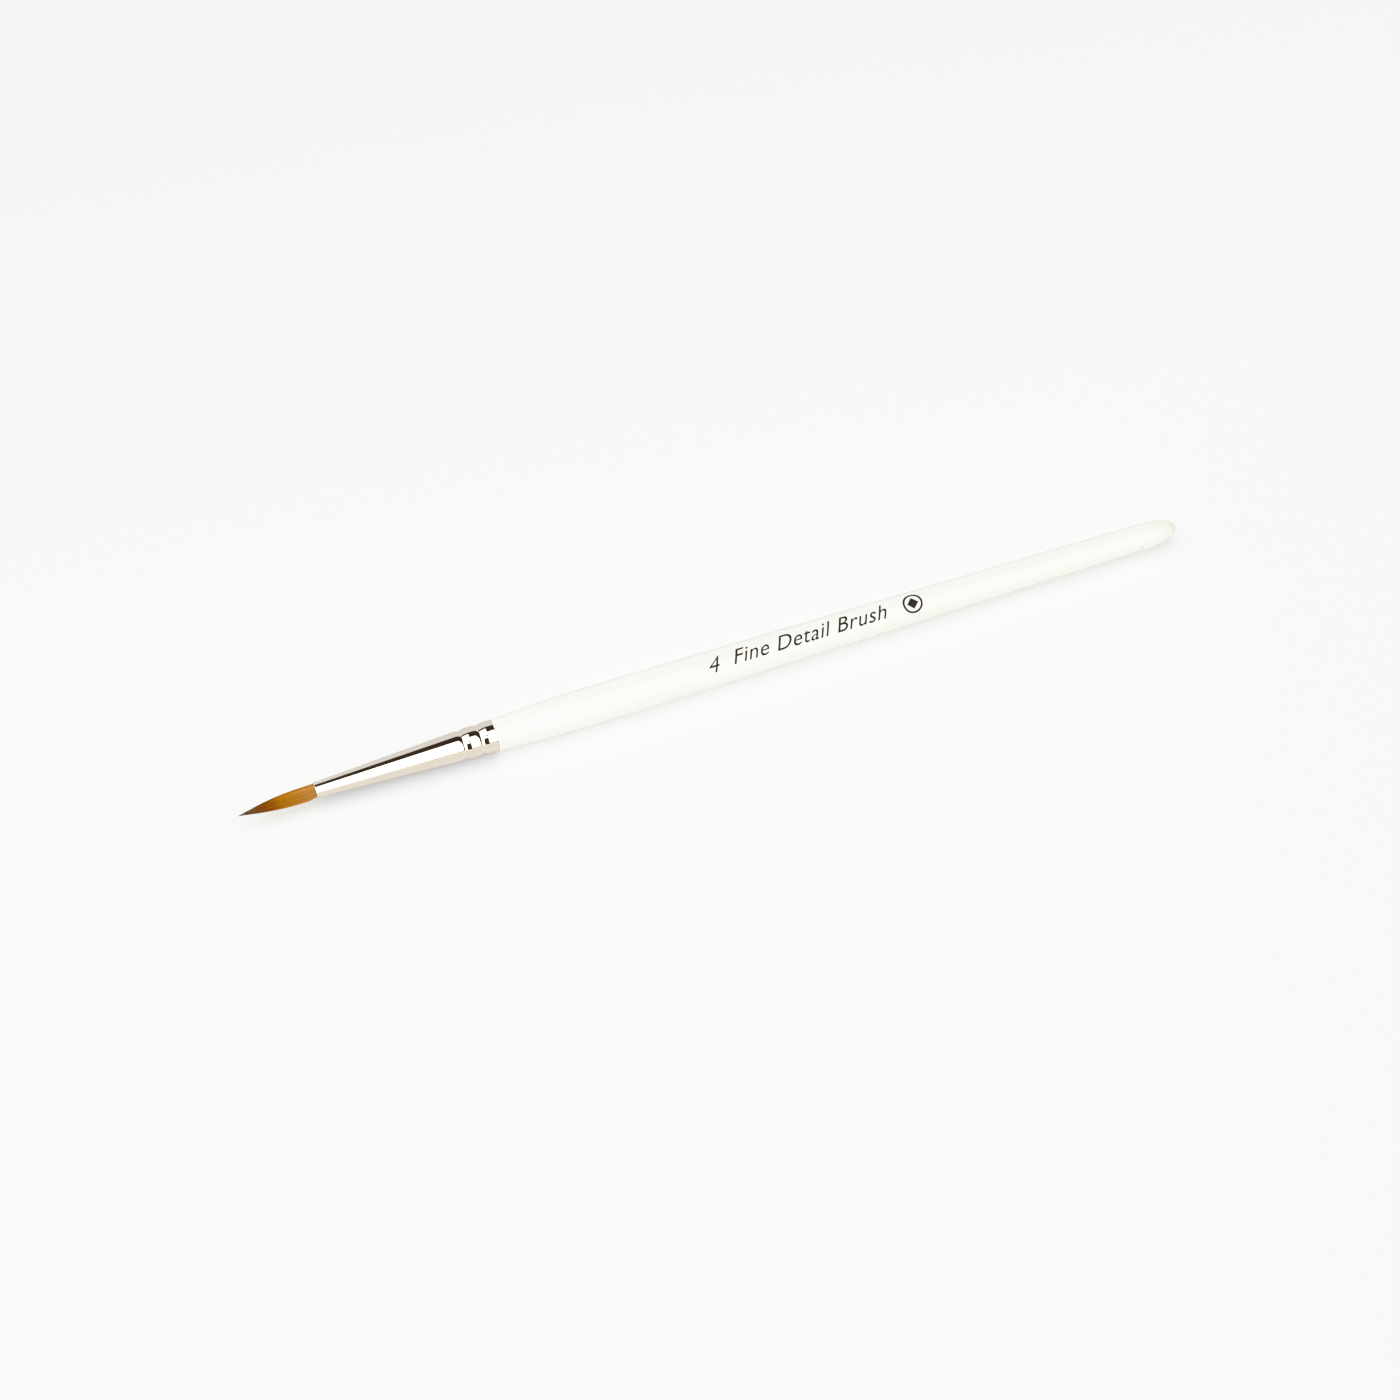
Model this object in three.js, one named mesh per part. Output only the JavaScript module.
// A fine detail brush: a pointed round of natural hair in a nickel-plated ferrule, on a lacquered wooden handle.
// Units are millimetres. The brush lies along X with the hair's point towards -X, and +Z is up.
// The origin is on the flat facet under the handle's belly, where the brush rests on a table.

import * as THREE from 'three';

// ---- Driving dimensions ----------------------------------------------------------------------------------------

const SIDES = 24; // facets round every turned part, an even number so that one facet faces straight down

const HAIR_OUT = 16.8; // hair showing in front of the ferrule
const FERRULE_LENGTH = 38.7;
const HANDLE_OUT = 152.5; // handle showing behind the ferrule

const MOUTH_RADIUS = 1.685; // ferrule, outside, at the end that holds the hair
const CONE_END = { station: 30.6, radius: 3.24 }; // where the plain cone ends and the crimps begin
const RING_RADII = [3.38, 3.46]; // the raised rings behind the first and the second crimp
const CRIMPS = [{ station: 31.75, radius: 3.06 }, { station: 35.5, radius: 3.14 }];
const CRIMP_FLANK = 1.3; // length of the slope that rises from a crimp to the ring behind it
const CRIMP_SHOULDER = 1.1; // length of the rounded drop in front of a crimp
const WALL = 0.2; // ferrule tube
const LIP_CHAMFER = 0.06;

const FIT_GAP = 0.02; // clearance between two parts that touch
const GLUE_FILM = 0.1;

const BELLY_RADIUS = 4.06;
const BELLY_BEHIND_RIM = 18; // middle of the belly, behind the ferrule's back rim
const BELLY_FLAT = 6; // length over which the belly keeps its full radius
const SHOULDER_RADIUS = 3.5; // handle where it meets the rim
const TAPER = 0.0112; // radius lost per millimetre along the slim half of the handle
const TAPER_EASE = 15; // how gently the belly turns into the taper
const NOSE_LENGTH = 8; // rounded tail end of the handle
const NOSE_POWER = 2.4; // 2 is a half ellipse, more is blunter

const TENON_LENGTH = 18.5; // handle inside the ferrule
const TENON_CHAMFER = 0.6;

const TUFT_RADIUS = 1.61; // fullest part of the hair
const TUFT_POWERS = { inner: 3, outer: 1.75 }; // shape of the taper to the point
const TUFT_PINCH = { share: 0.25, depth: 0.08 }; // narrowing where the ferrule holds the hair
const POINT_RADIUS = 0.03;
const SWEEP_PIVOT = 1.6; // hinge of the whole tuft, in front of the mouth
const PRESS_PIVOT = 7.2; // hinge of the pointed half, in front of the mouth
const SOCKET_GAP = 0.1;
const SOCKET_EDGE = THREE.MathUtils.degToRad(62); // how far round its ball a socket reaches
const SOCKET_BEVEL = 0.5; // length of the bevel round a socket's mouth, as a share of its height

const ROOT = { radius: 1.465, waist: 1.3, waistStation: 9, waistLength: 1.1, end: 12 };
const THREAD = { radius: 0.11, pitch: 0.26, turns: 4, sides: 6, stepsPerTurn: 14 };
const RESIN = { start: 7, end: 14.5, boreRadius: 1.58, meniscus: 0.6 };

const CURVE_STEPS = 4; // straight pieces in a small rounded stretch
const LONG_STEPS = 8; // straight pieces in a long gentle curve

// Derived places along the brush, measured backwards from the ferrule's mouth.
const RIM = FERRULE_LENGTH;
const BELLY = RIM + BELLY_BEHIND_RIM;
const TAIL = RIM + HANDLE_OUT;
const FACET_SHARE = Math.cos(Math.PI / SIDES); // a facet's distance from the axis, as a share of its corners'
const AXIS_HEIGHT = BELLY_RADIUS * FACET_SHARE;

// ---- Materials -------------------------------------------------------------------------------------------------

const material = (color, roughness, metalness) => new THREE.MeshStandardMaterial({ color, roughness, metalness });

const MATERIALS = {
  lacqueredWood: material(0xf4f2ea, 0.16, 0),
  nickelPlate: material(0xd9d2c6, 0.1, 1),
  glue: material(0xe6dcb4, 0.3, 0),
  rootHair: material(0xb8772f, 0.7, 0),
  thread: material(0xe9e2d2, 0.8, 0),
  resin: material(0xa86a1e, 0.15, 0),
  bellyHair: material(0xbf7d35, 0.6, 0),
  pointHair: material(0x7a4517, 0.6, 0),
};

// ---- Helpers ---------------------------------------------------------------------------------------------------

// A profile is a list of [station, radius] pairs, with the station measured along the brush.
// Each one runs from the hair's end to the handle's end, and starts and ends on the axis or closes on itself.

/** A turned solid from a profile, with the lathe's axis along Y. */
function turned(profile) {
  const points = profile.map(([station, radius]) => new THREE.Vector2(radius, station));
  return new THREE.LatheGeometry(points, SIDES, Math.PI / SIDES);
}

/** The radius of a profile at a station, on the straight piece between its two nearest points. */
function radiusAt(profile, station) {
  const next = profile.findIndex(([s]) => s >= station);
  if (next <= 0) return profile.at(next === 0 ? 0 : -1)[1];
  const [s0, r0] = profile[next - 1];
  const [s1, r1] = profile[next];
  return r0 + ((r1 - r0) * (station - s0)) / (s1 - s0);
}

/** The stretch of a profile between two stations, moved inwards by a depth. */
function stretch(profile, from, to, depth) {
  const ends = [from, to].map((station) => [station, radiusAt(profile, station)]);
  const inside = profile.filter(([station]) => station > from && station < to);
  return [ends[0], ...inside, ends[1]].map(([station, radius]) => [station, radius - depth]);
}

/** Evenly spaced samples of a radius formula, both ends included. */
function sampled(radiusOf, from, to, steps) {
  return Array.from({ length: steps + 1 }, (_, i) => {
    const station = from + ((to - from) * i) / steps;
    return [station, radiusOf(station)];
  });
}

/** Points on a ball round a place on the axis, between two angles measured from straight backwards. */
function ballArc(centre, radius, fromAngle, toAngle) {
  return Array.from({ length: CURVE_STEPS + 1 }, (_, i) => {
    const angle = fromAngle + ((toAngle - fromAngle) * i) / CURVE_STEPS;
    return [centre + radius * Math.cos(angle), radius * Math.sin(angle)];
  });
}

function part(name, geometry, surface) {
  const mesh = new THREE.Mesh(geometry, surface);
  mesh.name = name;
  return mesh;
}

// ---- Ferrule ---------------------------------------------------------------------------------------------------

/** The outside of the ferrule from mouth to rim: a plain cone, then two crimps with a raised ring behind each. */
function ferruleOutside() {
  const path = new THREE.Path();
  path.moveTo(0, MOUTH_RADIUS - LIP_CHAMFER);
  path.lineTo(LIP_CHAMFER, MOUTH_RADIUS);
  path.lineTo(CONE_END.station, CONE_END.radius);
  let crestRadius = CONE_END.radius;
  CRIMPS.forEach((crimp, i) => {
    path.lineTo(crimp.station - CRIMP_SHOULDER, crestRadius);
    path.quadraticCurveTo(crimp.station - CRIMP_SHOULDER / 4, crestRadius, crimp.station, crimp.radius);
    crestRadius = RING_RADII[i];
    const flankEnd = crimp.station + CRIMP_FLANK;
    path.quadraticCurveTo(flankEnd - CRIMP_FLANK / 3, crestRadius, flankEnd, crestRadius);
  });
  path.lineTo(RIM, crestRadius);
  const points = path.getPoints(CURVE_STEPS).map((p) => [p.x, p.y]);
  return points.filter(([station], i) => i === 0 || station > points[i - 1][0]);
}

const FERRULE_OUTSIDE = ferruleOutside();

function ferrule() {
  const inside = stretch(FERRULE_OUTSIDE, LIP_CHAMFER, RIM, WALL).reverse();
  const mouth = [0, MOUTH_RADIUS - WALL];
  const profile = [...FERRULE_OUTSIDE, ...inside, mouth, FERRULE_OUTSIDE[0]];
  return part('ferrule', turned(profile), MATERIALS.nickelPlate);
}

// ---- Handle and its glue ---------------------------------------------------------------------------------------

const TENON_START = RIM - TENON_LENGTH;

/** Handle radius behind the rim: an S-shaped rise to the belly, a long taper, and a rounded tail. */
function handleRadius(station) {
  const bellyStart = BELLY - BELLY_FLAT / 2;
  const bellyEnd = BELLY + BELLY_FLAT / 2;
  if (station < bellyStart) {
    const rise = (1 - Math.cos((Math.PI * (station - RIM)) / (bellyStart - RIM))) / 2;
    return SHOULDER_RADIUS + (BELLY_RADIUS - SHOULDER_RADIUS) * rise;
  }
  const past = Math.max(0, station - bellyEnd);
  const slim = BELLY_RADIUS - TAPER * (Math.hypot(past, TAPER_EASE) - TAPER_EASE);
  const intoNose = Math.max(0, (station - (TAIL - NOSE_LENGTH)) / NOSE_LENGTH);
  return slim * Math.max(0, 1 - intoNose ** NOSE_POWER) ** (1 / NOSE_POWER);
}

function handle() {
  const depth = WALL + GLUE_FILM + 2 * FIT_GAP;
  const tenon = stretch(FERRULE_OUTSIDE, TENON_START + TENON_CHAMFER, RIM + FIT_GAP, depth);
  const frontRadius = tenon[0][1] - TENON_CHAMFER;
  const bellyStart = BELLY - BELLY_FLAT / 2;
  const bellyEnd = BELLY + BELLY_FLAT / 2;
  const noseStart = TAIL - NOSE_LENGTH;
  const nose = Array.from({ length: LONG_STEPS }, (_, i) => {
    const angle = (Math.PI / 2) * ((i + 1) / LONG_STEPS);
    const station = noseStart + NOSE_LENGTH * Math.sin(angle);
    return [station, i === LONG_STEPS - 1 ? 0 : handleRadius(station)];
  });
  const profile = [
    [TENON_START, 0],
    [TENON_START, frontRadius],
    ...tenon,
    ...sampled(handleRadius, RIM + FIT_GAP, bellyStart, LONG_STEPS),
    ...sampled(handleRadius, bellyEnd, noseStart, LONG_STEPS),
    ...nose,
  ];
  return part('handle', turned(profile), MATERIALS.lacqueredWood);
}

function ferruleAdhesive() {
  const outside = stretch(FERRULE_OUTSIDE, TENON_START + TENON_CHAMFER, RIM - GLUE_FILM, WALL + FIT_GAP);
  const inside = outside.map(([station, radius]) => [station, radius - GLUE_FILM]).reverse();
  return part('ferrule_adhesive', turned([...outside, ...inside, outside[0]]), MATERIALS.glue);
}

// ---- Hair ------------------------------------------------------------------------------------------------------

/** Radius of the dressed tuft at a station in front of the mouth, where stations are negative. */
function tuftRadius(station) {
  const share = Math.min(1, -station / HAIR_OUT);
  const taper = (1 - share ** TUFT_POWERS.inner) ** TUFT_POWERS.outer;
  const nearMouth = Math.max(0, 1 - share / TUFT_PINCH.share);
  return TUFT_RADIUS * taper * (1 - TUFT_PINCH.depth * nearMouth ** 2);
}

/** The front of the piece behind a hinge: a hollow for the ball, then a bevel out to the piece's side. */
function socket(pivot, side) {
  const ball = tuftRadius(pivot) + SOCKET_GAP;
  const hollow = ballArc(pivot, ball, 0, SOCKET_EDGE);
  const [edgeStation, edgeRadius] = hollow.at(-1);
  const sideStation = edgeStation + SOCKET_BEVEL * (tuftRadius(edgeStation) - edgeRadius) + SOCKET_GAP;
  return [...hollow, [sideStation, side(sideStation)]];
}

/** The back of the piece in front of a hinge: a half ball. */
function ball(pivot) {
  return ballArc(pivot, tuftRadius(pivot), Math.PI / 2, 0);
}

/** Ball-and-socket ends have to start and end exactly on the axis. */
function closedOnAxis(profile) {
  profile[0][1] = 0;
  profile.at(-1)[1] = 0;
  return profile;
}

function hairPoint() {
  const side = sampled(tuftRadius, -HAIR_OUT, -PRESS_PIVOT, LONG_STEPS).slice(0, -1);
  side[0][1] = POINT_RADIUS;
  const profile = closedOnAxis([[-HAIR_OUT, 0], ...side, ...ball(-PRESS_PIVOT)]);
  return part('hair_point', turned(profile), MATERIALS.pointHair);
}

function hairBelly() {
  const front = socket(-PRESS_PIVOT, tuftRadius);
  const side = sampled(tuftRadius, front.at(-1)[0], -SWEEP_PIVOT, CURVE_STEPS).slice(1, -1);
  const profile = closedOnAxis([...front, ...side, ...ball(-SWEEP_PIVOT)]);
  return part('hair_belly', turned(profile), MATERIALS.bellyHair);
}

/** The glued-in length of the hair, drawn in to a waist by its binding. */
function hairRoot() {
  const { radius, waist, waistStation, waistLength, end } = ROOT;
  const profile = closedOnAxis([
    ...socket(-SWEEP_PIVOT, () => radius),
    [waistStation - waistLength, radius],
    [waistStation - waistLength / 2, waist],
    [waistStation + waistLength / 2, waist],
    [waistStation + waistLength, radius],
    [end, radius],
    [end, 0],
  ]);
  return part('hair_root', turned(profile), MATERIALS.rootHair);
}

// ---- Binding thread and resin ----------------------------------------------------------------------------------

/** The line that the thread follows round the waist of the hair, with the lathe's axis along Y. */
class Coil extends THREE.Curve {
  getPoint(share, target = new THREE.Vector3()) {
    const angle = 2 * Math.PI * THREAD.turns * share;
    const radius = ROOT.waist + FIT_GAP + THREAD.radius;
    const rise = THREAD.pitch * THREAD.turns * (share - 0.5);
    return target.set(radius * Math.cos(angle), rise, radius * Math.sin(angle));
  }
}

function bindingThread() {
  const section = new THREE.Shape();
  section.absarc(0, 0, THREAD.radius, 0, 2 * Math.PI);
  const geometry = new THREE.ExtrudeGeometry(section, {
    extrudePath: new Coil(),
    steps: THREAD.turns * THREAD.stepsPerTurn,
    curveSegments: THREAD.sides / 2, // a full circle takes twice as many
  });
  const mesh = part('binding_thread', geometry, MATERIALS.thread);
  mesh.position.y = ROOT.waistStation;
  return mesh;
}

/** A cup of set resin that fills the cone behind the tuft and holds the bound hair in its bore. */
function rootResin() {
  const { start, end, boreRadius, meniscus } = RESIN;
  const boreEnd = ROOT.end + FIT_GAP;
  const profile = [
    [boreEnd, 0],
    [boreEnd, boreRadius],
    [start, boreRadius],
    ...stretch(FERRULE_OUTSIDE, start, end, WALL + FIT_GAP),
    [end - meniscus, radiusAt(FERRULE_OUTSIDE, end) / 2],
    [end - meniscus, 0],
  ];
  return part('root_resin', turned(profile), MATERIALS.resin);
}

// ---- Assembly --------------------------------------------------------------------------------------------------

const brush = new THREE.Group();
const alongAxis = new THREE.Group(); // its Y axis runs along the brush, from the ferrule's mouth to the tail
alongAxis.rotation.z = -Math.PI / 2;
alongAxis.position.set(-BELLY, 0, AXIS_HEIGHT);
alongAxis.add(handle(), ferrule(), ferruleAdhesive());
alongAxis.add(hairRoot(), bindingThread(), rootResin());
alongAxis.add(hairBelly(), hairPoint());
brush.add(alongAxis);

export default brush;
